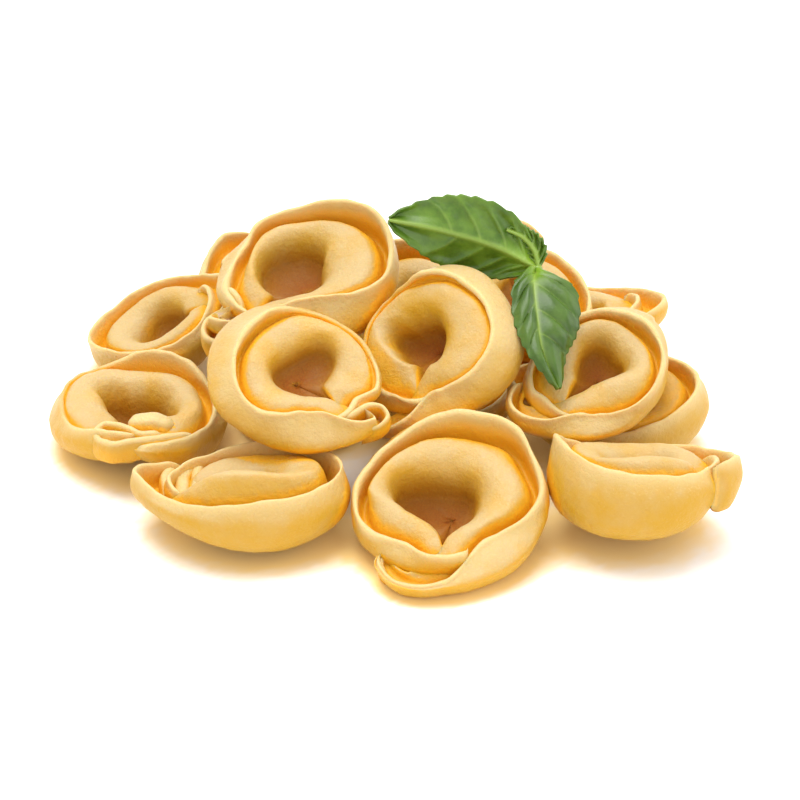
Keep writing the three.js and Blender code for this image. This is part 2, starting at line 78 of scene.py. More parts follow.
def named_rows(names, rows):
    return [dict(zip(names, row)) for row in rows]


# ---- The sizes of one tortellino ----
DOUGH = 1.7  # two layers pressed together
BULGE = 0.9
WIDTH_SHARE = 0.91
CENTRE_DEPTH = 5
SHADE_SHEET_DEPTH = 8.6  # depth in the middle of the sheet that closes the hole at its bottom, which stands where there is only shade and takes the holes' painted shade
SHADE_SHEET_REACH = -0.3  # radius to which it runs, a little past the middle
SHADE_SHEET_PLACE = -0.3  # its middle, where 0 is the hole's narrowest place and -1 is under the piece
SHADE_SHEET_BAND = (0.17, 0.32)  # how far from there the wall is all sheet, and where none is left
FOOT = 0.45  # where the piece's underside lies, as a share of the way from the hole to the outer wall
BEND_RADIUS = 16  # at which the bend of the ring is full
BEND_LEVEL = 0.35
UNDER_LAP = 22
STEEP = 0.82  # 1 for a round roll, less for one with steeper sides in the hole
SOLID_STATIONS = 10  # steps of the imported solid's sweep
HIDDEN_STATIONS = 8  # of a hidden one's
WALL_POINTS = 4

# The section at angles from the knot's middle: 180 is the back of the ring, and below 0 an end has passed the middle
# of the knot. Radii run from the hole's axis, heights from the plane of the open face.
#   over, under: middle of the collar's edge, in the end that lies outside and in the one that lies inside
#   lift: height of the collar's edge   deep: depth of the underside   ridge, crest: radius and height of the roll's top
#   hole, waist: radius and depth of the narrowest place of the hole   groove: depth of the furrow inside the collar
SECTION_NAMES = ("at", "over", "under", "lift", "deep", "ridge", "crest", "hole", "waist", "groove")
SECTIONS = named_rows(SECTION_NAMES, (
    (180, 16, 16, 3, 11, 11.8, 0.2, 5, 9, 3.6),
    (115, 15.8, 15.8, 0.9, 11.4, 11.9, 0.2, 5.3, 9, 3.6),
    (66, 15.8, 15.2, -0.3, 10.8, 11.2, -0.2, 6, 8.2, 3.6),
    (30, 16.8, 14.6, -0.4, 9.4, 9.6, -1.2, 6.6, 6.8, 3.8),
    (6, 19, 14.4, 0.2, 8.4, 8.8, -2.2, 7, 5.4, 4.2),
    (-8, 20.6, 14.2, 0.2, 7.6, 13.2, -3.4, 12.2, 5, 4.4),
    (-24, 20.4, 13.6, -0.4, 7, 18.4, -3.4, 17.2, 4.8, 4.4),
    (-44, 17.9, 13.4, -1.2, 6.4, 16.4, -3.4, 15.4, 4.4, 4),
))

# What most pieces have. tuck: how far the collar is drawn in over the furrow; lift: of the collar's edge; rise: of
# the roll's top; depth, width: shares of the full size; bend: of the whole ring; lap: degrees that the outer end runs
# past the knot; mirror: -1 for an outer end from -X; gap: width of the furrow; seal, sealed: share by which the
# furrow is pressed shut, and the direction; swell: sizes that are larger or smaller in one direction, as name,
# direction, spread in degrees and amount; lines: radii of the collar, the roll's ridge and the hole, as closed lines
# of (direction, radius) round the ring; dress: what the dressed piece has instead, when its place is known; folds:
# narrow folds of dough that stand on edge, as thickness, depth and a line of (direction, radius, height); stations:
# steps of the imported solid's sweep.
PLAIN = {
    "tuck": 0, "lift": 0, "rise": 0, "depth": 0.94, "width": 1, "bend": 1.0, "lap": 38, "mirror": 1,
    "gap": 1.1, "seal": 0, "sealed": 0, "swell": (), "lines": {}, "dress": {}, "folds": (),
    "stations": SOLID_STATIONS,
}

# Name of the piece, directions of its knot and of its lean in degrees from the front round to +X, tilt, size, phase
# of its waves, and what differs from PLAIN. Each stands where its solid stands.
PIECES = [
    ("floor_front", -8, -15, 19, 1.05, 0.6, {
        "folds": (
            (1.4, 4, ((-38, 18.2, -3.6), (-44, 17.4, -3.3), (-47, 15.8, -3), (-42, 14.6, -2.6), (-32, 14.2, -2.2),
                (-22, 14.6, -2.2))),
            (1.3, 3, ((-40, 14.3, -1.4), (-25, 14.4, -1.2), (-12, 14.2, -1.2), (0, 13.4, -1.6))),
        ),
        "lap": 40, "width": 1.07, "gap": 1.2,
        "swell": (("over", -20, 30, -1.6), ("outer lift", -20, 32, -3.2), ("crest", -95, 40, 0.8)),
        "lines": {
            "collar": ((-178, 14.9), (-146, 14.4), (-120, 15), (-95, 16.2), (-68, 16), (-40, 13.4), (-5, 13),
                (15, 13.3), (30, 12.2), (48, 12.6), (68, 14.8), (85, 16.3), (110, 15.9), (132, 16.3), (156, 15.1)),
            "ridge": ((-175, 11.4), (-140, 12.5), (-115, 13.6), (-96, 13.7), (-78, 10.4), (-50, 8), (-8, 7.6), (44, 9),
                (66, 10.8), (90, 11.3), (112, 10.6), (142, 10.2)),
            "hole": ((-170, 5), (-140, 6.4), (-110, 9), (-80, 8), (-45, 6), (-8, 5.6), (45, 5), (90, 4.2), (130, 4.4)),
        },
    }),
    ("floor_left", -88, 180, 12, 1.0, 2.2, {
        "dress": {
            "swell": (("crest", 0, 70, 3), ("ridge", 10, 60, 0.6), ("hole", 0, 200, -3), ("lift", 178, 60, 3.2),
                ("crest", -100, 40, -1.6)),
        },
        "folds": (
            (2.2, 4, ((-130, 19, -0.6), (-114, 17, -0.7), (-98, 15.2, -1.2), (-84, 14.6, -2.4))),
            (3, 4, ((-138, 17, -0.4), (-124, 15, -0.6), (-106, 12.8, -1.2), (-90, 12.2, -2.2))),
            (2.4, 5, ((-147, 17.6, 0), (-134, 13.8, -0.2), (-116, 10.9, -0.6), (-96, 9.8, -1.8))),
        ),
        "lap": 42, "width": 0.9, "depth": 0.84, "rise": 2.4, "swell": (("crest", 10, 60, 1.6), ("ridge", 20, 50, 1.2)),
    }),
    ("floor_right", 86, 180, 20, 0.97, 4.1, {
        "lift": 0.6, "width": 0.95, "depth": 1.12, "rise": 1.8, "lap": 32,
        "swell": (("crest", 0, 60, 1), ("hole", 0, 180, -1.6), ("outer deep", 52, 34, 1.2), ("outer lift", 56, 26, 1.6),
            ("over", 66, 40, -2.6)),
    }),
    ("floor_far_left", -14, 180, 3, 1.05, 5.3, {
        "dress": {
            "lap": 0, "swell": (("over", -8, 34, -3.8), ("outer deep", -10, 40, -3.6), ("outer lift", -4, 36, -1.6)),
        },
        "folds": (
            (1.6, 4.5, ((46, 16.8, -0.4), (30, 16.2, -0.1), (14, 15.8, -0.2), (2, 16, -0.4), (-10, 16.6, -0.6),
                (-20, 15.4, -0.6), (-29, 12.8, -0.2), (-27, 10.8, 0.4), (-12, 10.9, 0.7), (0, 12.2, 0.7),
                (10, 13.8, 0.5), (24, 15, 0.4))),
            (4.4, 5, ((-2, 9, 0.6), (13, 9.6, 1.6), (28, 10.7, 1.8), (40, 13, 0.8))),
        ),
        "tuck": 1, "width": 1.02, "depth": 0.84, "rise": 1.0, "seal": 1, "sealed": -95,
        "lines": {
            "collar": ((-172, 13.2), (-143, 14.6), (-120, 14.9), (-90, 14.2), (-60, 14.2), (-30, 14.8), (0, 16.4),
                (25, 17.2), (50, 17), (80, 15.6), (110, 14.4), (138, 13.4), (162, 12.6)),
            "ridge": ((-165, 9.8), (-141, 11.4), (-120, 11.8), (-95, 9), (-60, 8), (-20, 7.5), (20, 8), (50, 12),
                (75, 12.4), (98, 10), (140, 8.4)),
            "hole": ((-165, 5.4), (-144, 7.6), (-120, 7), (-95, 4.5), (-30, 4.5), (30, 5), (70, 8), (96, 6.5),
                (140, 4.6)),
        },
    }),
    ("floor_far_right", -90, 0, 14, 0.96, 1.1, {"tuck": 1, "width": 0.88, "depth": 0.94}),
    ("floor_middle", 120, 0, 5, 0.88, 2.9, {"depth": 0.85, "stations": HIDDEN_STATIONS}),
    ("floor_inner_left", 180, 180, 0, 0.8, 0.2, {"depth": 0.62, "stations": HIDDEN_STATIONS}),
    ("floor_back_left", 100, -75, 26, 0.84, 2.7, {}),
    ("floor_back_right", 90, 180, 10, 0.86, 5.9, {"depth": 0.84}),
    ("upper_right", -42, 0, 23, 0.93, 0.9, {
        "tuck": 1.6, "depth": 0.78, "width": 0.9,
        "swell": (("inner lift", 10, 55, -1.4), ("crest", 10, 60, 0.8), ("over", 80, 55, -1.5)),
        "lines": {
            "collar": ((-172, 14), (-140, 14.6), (-100, 15), (-65, 15.4), (-45, 14.6), (-20, 13.6), (3, 12.8),
                (31, 14), (52, 14.9), (72, 14.8), (94, 13.8), (115, 13), (143, 12.6), (166, 13.2)),
            "ridge": ((-166, 11.4), (-120, 9.5), (-80, 8), (-48, 7.6), (0, 6.2), (35, 7), (60, 9), (78, 10.8),
                (98, 10.6), (131, 10), (165, 11)),
            "hole": ((-166, 6.8), (-120, 5), (-60, 4.4), (0, 3.2), (50, 3.6), (90, 5), (130, 5.4), (165, 6.4)),
        },
    }),
    ("upper_middle", -25, -43, 44, 0.94, 3.7, {
        "tuck": 2.4, "seal": 1, "sealed": -110,
        "swell": (("over", 62, 34, 4.2), ("lift", 165, 60, -1.4)),
        "lines": {
            "collar": ((-178, 13.4), (-130, 15), (-90, 14.5), (-45, 13.1), (-11, 12.4), (17, 13.3), (34, 15.1),
                (50, 16.5), (64, 17.1), (76, 16.8), (90, 16), (104, 15.2), (120, 14.2), (145, 13.8)),
            "ridge": ((-178, 10.6), (-148, 12.6), (-124, 13.4), (-95, 9), (-60, 6.6), (-25, 6), (5, 7.6), (32, 10.1),
                (62, 10.3), (95, 9.6), (140, 10)),
            "hole": ((-178, 4.6), (-147, 6.6), (-125, 10), (-95, 6.6), (-40, 4.4), (0, 4.4), (59, 2.9), (113, 4)),
        },
    }),
    ("upper_left", 52, 6, 27, 0.94, 1.9, {
        "dress": {"lap": 4},
        "folds": (
            (1.4, 5, ((44, 18.6, -1.6), (52, 20.6, -1.3), (60, 20.8, -0.8), (64, 18.8, -0.3), (61, 16.6, 0),
                (52, 15.5, -0.2), (42, 14.9, -0.5), (34, 14, -0.8))),
        ),
        "tuck": 1.9, "mirror": -1, "lap": 36, "depth": 0.72, "seal": 1, "sealed": 120,
        "swell": (("over", -62, 30, 1.6), ("outer lift", 5, 35, 1.6)),
        "lines": {
            "collar": ((-175, 14.2), (-155, 13.2), (-132, 12.2), (-109, 12.1), (-83, 12.7), (-63, 13.5), (-46, 13.9),
                (-30, 13.7), (-14, 12.6), (4, 11.4), (25, 12.2), (42, 15), (80, 16.4), (120, 15.6), (150, 14.6)),
            "ridge": ((-175, 10.9), (-150, 9.6), (-117, 8.9), (-74, 8.9), (-42, 9.4), (-16, 8.4), (27, 8.6), (52, 10),
                (80, 12), (100, 13.6), (122, 13.6), (147, 12.4)),
            "hole": ((-175, 4.8), (-110, 4.2), (-50, 4.2), (10, 4.9), (70, 5.4), (95, 7), (120, 9), (144, 8.4),
                (167, 6)),
        },
    }),
    ("top", -55, -20, 21, 1.05, 3.3, {
        "dress": {"lap": 6},
        "folds": (
            (1.5, 6, ((-44, 18.6, -3.6), (-46, 20.6, -3.2), (-52, 21.8, -3), (-60, 21, -2.8), (-64, 19, -2.5),
                (-60, 17.4, -2.2), (-52, 17.6, -2.2), (-50, 19, -2.4))),
            (1.6, 5, ((-52, 14.4, -2.4), (-60, 13.2, -1.6), (-68, 12.9, -0.8), (-80, 13.8, -0.2))),
        ),
        "depth": 0.84,
        "swell": (("outer lift", 10, 40, 2.4),),
        "lines": {
            "collar": ((-175, 15.3), (-148, 16.6), (-130, 14.6), (-104, 14), (-75, 14.4), (-46, 12.6), (-28, 10.6),
                (8, 10.4), (34, 12), (52, 14.6), (69, 16.9), (82, 17.2), (114, 17), (133, 16.2), (155, 15.2)),
            "ridge": ((-175, 12.6), (-150, 13), (-110, 10.6), (-60, 8.4), (0, 7.8), (30, 8.8), (46, 9.9), (70, 11.7),
                (95, 12.3), (150, 12.4)),
            "hole": ((-165, 9.6), (-140, 9.8), (-100, 7.4), (-47, 5.6), (0, 4), (60, 3.2), (130, 3.3), (152, 6.2)),
        },
    }),
    ("rear_right", 200, 30, 18, 0.88, 2.0, {"depth": 0.8}),
    ("rear_left", -140, 0, 12, 0.88, 4.6, {"depth": 0.85}),
    ("rear_middle", 20, -20, 18, 0.86, 5.0, {"depth": 0.85}),
]


def smoothstep(value, low, high):
    t = min(1.0, max(0.0, (value - low) / (high - low)))
    return t * t * (3 - 2 * t)


def mix(a, b, t):
    return a + (b - a) * t


def section_size(name, angle):
    """One size of the section at an angle from the knot, on a smooth curve through the rows of SECTIONS."""
    rows = SECTIONS
    i = 0
    while i < len(rows) - 2 and angle < rows[i + 1]["at"]:
        i += 1

    def slope(k):
        if k in (0, len(rows) - 1):
            return 0
        return (rows[k + 1][name] - rows[k - 1][name]) / (rows[k + 1]["at"] - rows[k - 1]["at"])

    span = rows[i + 1]["at"] - rows[i]["at"]
    t = min(1.0, max(0.0, (angle - rows[i]["at"]) / span))
    ease = t * t * (3 - 2 * t)
    bow = span * t * (1 - t) * ((1 - t) * slope(i) - t * slope(i + 1))
    return rows[i][name] * (1 - ease) + rows[i + 1][name] * ease + bow


def line_value(points, heading):
    """The value at a direction, on a smooth closed line through (direction, value) pairs in rising order."""
    heading = (heading - points[0][0]) % 360
    places = [((at - points[0][0]) % 360, value) for at, value in points]
    count = len(places)
    i = max(k for k in range(count) if places[k][0] <= heading)
    span = (places[(i + 1) % count][0] - places[i][0]) % 360
    t = (heading - places[i][0]) / span
    a, b, c, d = (places[(i + k) % count][1] for k in (-1, 0, 1, 2))
    return b + 0.5 * t * (c - a + t * (2 * a - 5 * b + 4 * c - d + t * (3 * (b - c) + d - a)))


def section_form(angle, is_over, shape, turn):
    """The named places of the section at one station."""

    def wave(count, phase):
        return sin(count * turn + phase + shape["phase"])

    def facing(direction):
        return cos(turn + radians(shape["knot"] - direction))

    def size(name, base=None):
        """The size, as the piece's own line round the ring gives it, and with what it has more of in one direction."""
        value = section_size(name, angle) if base is None else base
        if name in shape["lines"]:
            value = mix(value, line_value(shape["lines"][name], heading), smoothstep(angle, 4, 28))
        for own_name, direction, spread, amount in shape["swell"]:
            if own_name in (name, strip + " " + name):
                value += amount * exp(-((((heading - direction + 180) % 360 - 180) / spread) ** 2))
        return value

    strip = "outer" if is_over else "inner"
    heading = degrees(turn) + shape["knot"]

    loose = smoothstep(angle, -20, 40)
    tuck = shape["tuck"] * loose
    pressed = shape["tuck"] / 2.4 * loose
    wide = size("over" if is_over else "under") + DOUGH / 2 + BULGE * loose + 0.45 * wave(2, 0.4) + 0.25 * wave(3, 2.1)
    rim = size("collar", wide - DOUGH / 2 - BULGE * loose - tuck)
    wide = max(wide, rim + DOUGH / 2 + 0.2)
    bottom = -size("deep") * shape["depth"] + 0.3 * wave(2, 4.0)
    seal = shape["seal"] * smoothstep(facing(shape["sealed"]), 0.1, 0.75) * smoothstep(angle, 20, 70)
    crest = max(size("crest") + shape["rise"] * loose + 0.35 * wave(3, 1.3), bottom + 2.2)
    lift = size("lift") + shape["lift"] * loose + 0.5 * wave(2, 2.6) + 0.35 * wave(3, 0.2)
    lift = mix(lift, crest - 0.5, seal)
    gap = shape["gap"] * (1 - 0.8 * pressed)
    shoulder = rim - DOUGH / 2 - mix(max(gap, 0.15), 0.0, seal)
    ridge = min(size("ridge", section_size("ridge", angle) - 0.35 * tuck), shoulder - 0.5)
    edge = min(crest, lift)
    furrow = mix(mix(-size("groove"), edge - 1.1, 0.85 * pressed), edge - 0.15, seal)
    return {
        "wide": wide, "rim": rim, "lift": lift, "tuck": tuck, "seal": seal,
        "ridge": ridge, "crest": crest, "shoulder": shoulder, "bottom": bottom,
        "hole": min(size("hole") * (1 + 0.1 * wave(3, 0.5)), ridge - 0.7),
        "waist": min(max(-size("waist") * shape["depth"], bottom + 0.6), crest - 1),
        "shade_sheet": smoothstep(angle, -14, -4),
        "shade_sheet_level": -SHADE_SHEET_DEPTH * shape["depth"],
        "groove": min(max(furrow, bottom + 0.8), edge - 0.3),
        "level": bottom * (0.34 + 0.05 * shape["tuck"]),
    }


def solid_section(form):
    """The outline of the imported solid's section, which gives the piece its place."""
    places = [(form["rim"] + DOUGH / 2, form["lift"]), (form["rim"] - DOUGH / 2, form["lift"])]
    places += [wall_place(form, (k / WALL_POINTS) * pi / 2) for k in range(WALL_POINTS + 1)]
    places += [hole_place(form, t) for t in (-0.5, 0, 0.5, 1)]
    return places


def wall_place(form, a):
    """On the outer wall: a runs from 0 at its widest place to 90 degrees under the piece."""
    foot = mix(form["hole"], form["wide"], FOOT)
    return (
        foot + (form["wide"] - foot) * max(0.0, cos(a)) ** 0.85,
        form["level"] + (form["bottom"] - form["level"]) * max(0.0, sin(a)) ** 0.95,
    )


def hole_place(form, t):
    """In the hole: t runs from -1 under the piece to 0 at its narrowest place and 1 on the roll's crest."""
    a = t * pi / 2
    if t < 0:
        foot = mix(form["hole"], form["wide"], FOOT)
        radius = foot - (foot - form["hole"]) * cos(a)
        height = form["waist"] + (form["waist"] - form["bottom"]) * sin(a)
    else:
        radius = form["ridge"] - (form["ridge"] - form["hole"]) * max(0.0, cos(a)) ** STEEP
        height = form["waist"] + (form["crest"] - form["waist"]) * sin(a) ** STEEP
    # The sheet that closes the hole at its bottom stands where there is only shade.
    shade_sheet = form["shade_sheet"] * (1 - smoothstep(abs(t - SHADE_SHEET_PLACE), *SHADE_SHEET_BAND))
    return (mix(radius, SHADE_SHEET_REACH, shade_sheet), mix(height, form["shade_sheet_level"], shade_sheet))


def station_place(t, is_over, shape):
    """At t along the outer or the inner half: degrees from the knot's middle, the turn round the ring, the lap."""
    past = shape["lap"] if is_over else UNDER_LAP
    angle = 180 - (180 + past) * (0.5 * t + 0.5 * sin(t * pi / 2))
    return angle, radians(angle) * (1 if is_over == (shape["mirror"] > 0) else -1), past


def ring_place(radius, height, turn, shape, middle=False):
    """A place of the section, carried round the ring, in the piece's own frame."""
    x = 0 if middle else sin(turn) * radius * WIDTH_SHARE * shape["width"]
    y = -cos(turn) * radius
    bend = shape["bend"] * ((y / BEND_RADIUS) ** 2 - BEND_LEVEL)
    return Vector((x, y, height + bend + CENTRE_DEPTH)) * shape["size"]


def turn_of(shape):
    spin = Quaternion((0, 0, 1), radians(shape["knot"]))
    lean = radians(shape["lean"])
    over = Quaternion((cos(lean), sin(lean), 0), radians(shape["tilt"]))
    return over @ spin


def place_of(shape, node):
    """Where the piece's turning point is, from the box of the solid that it stands for."""
    turned = turn_of(shape)
    low, high = Vector((1e9,) * 3), Vector((-1e9,) * 3)
    for is_over in (True, False):
        for i in range(shape["stations"] + 1):
            angle, turn, _ = station_place(i / shape["stations"], is_over, shape)
            turn = pi if i == 0 else turn
            for radius, height in solid_section(section_form(angle, is_over, shape, turn)):
                place = turned @ ring_place(radius, height, turn, shape, i == 0)
                low = Vector(map(min, low, place))
                high = Vector(map(max, high, place))
    box_low, box_high = (Vector(corner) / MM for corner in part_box(node))
    middle = (box_low + box_high) / 2 - (low + high) / 2
    return Vector((middle.x, middle.y, box_high.z - high.z))


# ---- The dressed section ----
STATIONS_OVER = 96
STATIONS_UNDER = 84
LIP = 8  # points round the collar's edge
COLLAR = 5  # down its outside
WALL = 9
HOLE = 30
SHOULDER = 8  # from the crest to the furrow
FURROW = 8
AROUND = LIP + COLLAR + WALL + HOLE + SHOULDER + FURROW
RAYS = 26  # in all directions, of which those on the outer side count
REACH = 0.014  # how far they look, in metres
FOLD_AROUND = 20
FOLD_STEPS = 72
ROUNDING = 1.5  # length over which the two ends of the strip are rounded off
THINNEST = 0.03  # share of the section that the strip ends with


def bezier(a, b, c, d, t):
    s = 1 - t
    return tuple(s ** 3 * p + 3 * s * s * t * q + 3 * s * t * t * r + t ** 3 * w for p, q, r, w in zip(a, b, c, d))


def dressed_section(form, shape, turn):
    """The fine outline of the section: radius, height, lip, furrow and hollow for each of its points.

    It starts at the inner side of the collar's edge, goes over the edge and down the wall, under the roll, up
    through the hole, over the crest, and through the furrow back to the collar.
    """
    thin = 0.5 + 0.5 * noise.noise(Vector((3 * sin(turn), 3 * cos(turn), shape["phase"] * 7)))
    edge = DOUGH / 2 * mix(0.5, 0.88, thin)
    rim, lift = form["rim"], form["lift"] + 0.35 * noise.noise(
        Vector((4.5 * sin(turn), 4.5 * cos(turn), shape["phase"] * 3 + 9))
    )
    open_share = 1 - form["seal"]
    places = []
    for k in range(LIP):
        a = pi * (1 - (k + 0.5) / LIP)
        places.append((rim + edge * cos(a), lift - edge + edge * sin(a), open_share, 0.0, 0.0))
    start = (rim + edge, lift - edge)
    first = wall_place(form, 0)
    drop = start[1] - first[1]
    for k in range(COLLAR):
        t = (k + 0.5) / COLLAR
        r, z = bezier(start, (start[0], start[1] - 0.4 * drop), (first[0], first[1] + 0.45 * drop), first, t)
        places.append((r, z, max(0.0, 1 - 2.2 * t) * open_share, 0.0, 0.0))
    for k in range(WALL):
        r, z = wall_place(form, (k / WALL) * pi / 2)
        places.append((r, z, 0.0, 0.0, 0.0))
    for k in range(HOLE):
        t = -1 + 2 * k / (HOLE - 1)
        r, z = hole_place(form, t)
        # The hollow share marks where painted shade falls down the hole; it also makes the dough rougher and less
        # coated there.
        places.append((r, z, 0.0, 0.0, 1 - smoothstep(t, -0.15, 0.6)))
    inside = rim - edge
    ridge, crest, shoulder, groove = (form[name] for name in ("ridge", "crest", "shoulder", "groove"))
    groove = min(groove, lift - 0.3)
    for k in range(SHOULDER):
        t = (k + 0.7) / SHOULDER
        a = t * pi / 2
        places.append((ridge + (shoulder - ridge) * sin(a), crest - (crest - groove) * (1 - cos(a)), 0.0,
                       smoothstep(t, 0.45, 1.0) * open_share, 0.0))
    mouth = (inside, lift - edge)
    floor = (mix(shoulder, inside, 0.5), groove - 0.25)
    belly = 0.25 * form["tuck"] * open_share
    for k in range(FURROW):
        t = (k + 0.5) / FURROW
        if t < 0.25:
            r, z = mix(shoulder, floor[0], t / 0.25), mix(groove, floor[1], t / 0.25)
        else:
            s = (t - 0.25) / 0.75
            r, z = bezier(floor, (inside + belly, floor[1]), (inside + belly, mix(floor[1], mouth[1], 0.6)), mouth, s)
        # The furrow share marks where painted shade falls in the furrow.
        furrow = (1 - 0.85 * smoothstep(t, 0.45, 1.0)) * open_share
        places.append((r, z, smoothstep(t, 0.75, 1.0) * open_share, furrow, 0.0))
    return rounded(places, 2)


def rounded(places, passes):
    """Rounds the corners of a closed outline."""
    for _ in range(passes):
        places = [
            tuple((a + 2 * b + c) / 4 for a, b, c in zip(places[k - 1], places[k], places[(k + 1) % len(places)]))
            for k in range(len(places))
        ]
    return places


def dressed_station(step, shape):
    """The places round the section at one step of the strip, which runs from the outer end to the inner end."""
    is_over = step < STATIONS_OVER
    count = STATIONS_OVER if is_over else STATIONS_UNDER
    angle, turn, past = station_place(abs(step - STATIONS_OVER) / count, is_over, shape)
    form = section_form(angle, is_over, shape, turn)
    places = dressed_section(form, shape, turn)
    left = (angle + past) * pi / 180 * form["rim"]  # arc length that is left to the end
    if left < ROUNDING:
        keep = max(THINNEST, sqrt(max(0.0, 1 - (1 - left / ROUNDING) ** 2)))
        radius = sum(p[0] for p in places) / len(places)
        height = sum(p[1] for p in places) / len(places)
        places = [
            (mix(radius, r, keep), mix(height, z, 0.8 + 0.2 * keep), max(lip, 0.8 * (1 - keep)), furrow * keep, hollow)
            for r, z, lip, furrow, hollow in places
        ]
    return [(ring_place(r, z, turn, shape), lip, furrow, hollow) for r, z, lip, furrow, hollow in places]


# ---- Mesh helpers ----
SEAM = 1e-6  # in metres
CLEAR = 0.0002  # how far outside the face a ray starts, in metres
GRAZING = 0.2  # rays that are flatter to the face than this don't count


def deselect_all():
    for o in bpy.context.view_layer.objects:
        o.select_set(False)
    bpy.context.view_layer.objects.active = None


def add_grid(name, columns, rows):
    """A flat grid with the given number of faces each way. Its object stays at the origin."""
    deselect_all()
    bpy.ops.mesh.primitive_grid_add(x_subdivisions=columns, y_subdivisions=rows, size=2, location=(0, 0, 0))
    obj = bpy.context.object
    obj.name = obj.data.name = name
    return obj


def swept_grid(name, columns, rows, place_at):
    """A grid whose vertices lie where place_at(column, row) says, in millimetres, with the values that it gives."""
    obj = add_grid(name, columns, rows)
    values = {}
    for vertex in obj.data.vertices:
        column, row = round((vertex.co.x + 1) / 2 * columns), round((vertex.co.y + 1) / 2 * rows)
        place, given = place_at(column, row)
        vertex.co = place * MM
        for label, value in given.items():
            values.setdefault(label, []).append(value)
    give_values(obj, values)
    return obj


def close_strip(obj):
    """Merges the seam of a strip that was rolled up, closes its open ends and turns its faces outwards."""
    bpy.ops.object.mode_set(mode="EDIT")
    bpy.ops.mesh.select_all(action="SELECT")
    bpy.ops.mesh.remove_doubles(threshold=SEAM)
    bpy.ops.mesh.select_all(action="DESELECT")
    bpy.ops.mesh.select_mode(type="EDGE")
    bpy.ops.mesh.select_non_manifold()
    bpy.ops.mesh.fill_holes(sides=0)
    bpy.ops.mesh.select_all(action="SELECT")
    bpy.ops.mesh.normals_make_consistent(inside=False)
    bpy.ops.mesh.select_mode(type="VERT")
    bpy.ops.object.mode_set(mode="OBJECT")


def give_values(obj, values):
    """Stores a number for each vertex, which the materials read by its name."""
    for name, numbers in values.items():
        layer = obj.data.attributes.new(name, "FLOAT", "POINT")
        layer.data.foreach_set("value", numbers)


def shelter_values(objects, pieces, reach, count):
    """Measures how far each place is sheltered by the pieces round it, which the materials turn into painted shade, and
    how far it faces up and is open, which they turn into painted light on its top.
    """
    places, faces = [], []
    for obj in pieces:
        first = len(places)
        places += [v.co for v in obj.data.vertices]
        faces += [[first + i for i in face.vertices] for face in obj.data.polygons]
    tree = BVHTree.FromPolygons(places, faces)
    rays = []
    for k in range(count):
        z = 1 - (2 * k + 1) / count
        turn = k * pi * (3 - sqrt(5))
        rays.append(Vector((cos(turn) * sqrt(1 - z * z), sin(turn) * sqrt(1 - z * z), z)))
    for obj in objects:
        shelter, dry = [], []
        for vertex in obj.data.vertices:
            normal = vertex.normal
            start = vertex.co + normal * CLEAR
            hit, total = 0.0, 0.0
            for ray in rays:
                share = ray.dot(normal)
                if share > GRAZING:
                    total += share
                    distance = tree.ray_cast(start, ray, reach)[3]
                    if distance is not None:
                        hit += share * (1 - distance / reach)
            closed = hit / total
            shelter.append(closed)
            # Painted light: tops that face up and are not sheltered get the pale colour, as if lit from above.
            dry.append(smoothstep(normal.z, 0.1, 0.95) * (1 - smoothstep(closed, 0.06, 0.3)))
        give_values(obj, {"shelter": shelter, "dry": dry})


def finish_piece(obj, node, material):
    obj.data.materials.clear()
    obj.data.materials.append(material)
    deselect_all()
    obj.select_set(True)
    bpy.context.view_layer.objects.active = obj
    bpy.ops.object.shade_smooth()
    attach(obj, "root")
    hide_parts(node)


# ---- Node helpers ----
class Nodes:
    """Adds nodes to a tree and links them."""

    def __init__(self, tree):
        self.tree = tree

    def add(self, kind, values=None, **settings):
        node = self.tree.nodes.new(kind)
        for key, value in settings.items():
            setattr(node, key, value)
        for key, value in (values or {}).items():
            if isinstance(value, bpy.types.NodeSocket):
                self.tree.links.new(value, node.inputs[key])
            else:
                node.inputs[key].default_value = value
        return node

    def math(self, operation, *values):
        return self.add("ShaderNodeMath", dict(enumerate(values)), operation=operation).outputs[0]

    def blend(self, share, a, b):
        return self.add("ShaderNodeMix", {0: share, 6: a, 7: b}, data_type="RGBA", clamp_factor=True).outputs[2]

    def ramp(self, value, low, high, to_low=0.0, to_high=1.0):
        values = {"Value": value, "From Min": low, "From Max": high, "To Min": to_low, "To Max": to_high}
        return self.add("ShaderNodeMapRange", values, interpolation_type="SMOOTHSTEP").outputs["Result"]

    def attribute(self, name):
        return self.add("ShaderNodeAttribute", attribute_name=name).outputs["Fac"]

    def mottle(self, patch_scale, grain_scale):
        values = {"Patch Scale": patch_scale, "Grain Scale": grain_scale}
        return self.add("ShaderNodeGroup", values, node_tree=mottle_group()).outputs

    def noise(self, scale, detail, roughness):
        values = {
            "Vector": self.add("ShaderNodeTexCoord").outputs["Object"], "Scale": scale, "Detail": detail,
            "Roughness": roughness,
        }
        return self.add("ShaderNodeTexNoise", values).outputs["Fac"]

    def bump(self, height, strength, distance):
        return self.add("ShaderNodeBump", {"Height": height, "Strength": strength, "Distance": distance}).outputs[0]

    def finish(self, values):
        shader = self.add("ShaderNodeBsdfPrincipled", values)
        self.tree.links.new(shader.outputs[0], self.add("ShaderNodeOutputMaterial").inputs[0])


def srgb(red, green, blue):
    """A colour as it is seen, 0 to 255, in the shader's own linear scale."""

    def linear(value):
        value /= 255
        return value / 12.92 if value <= 0.04045 else ((value + 0.055) / 1.055) ** 2.4

    return (linear(red), linear(green), linear(blue), 1.0)


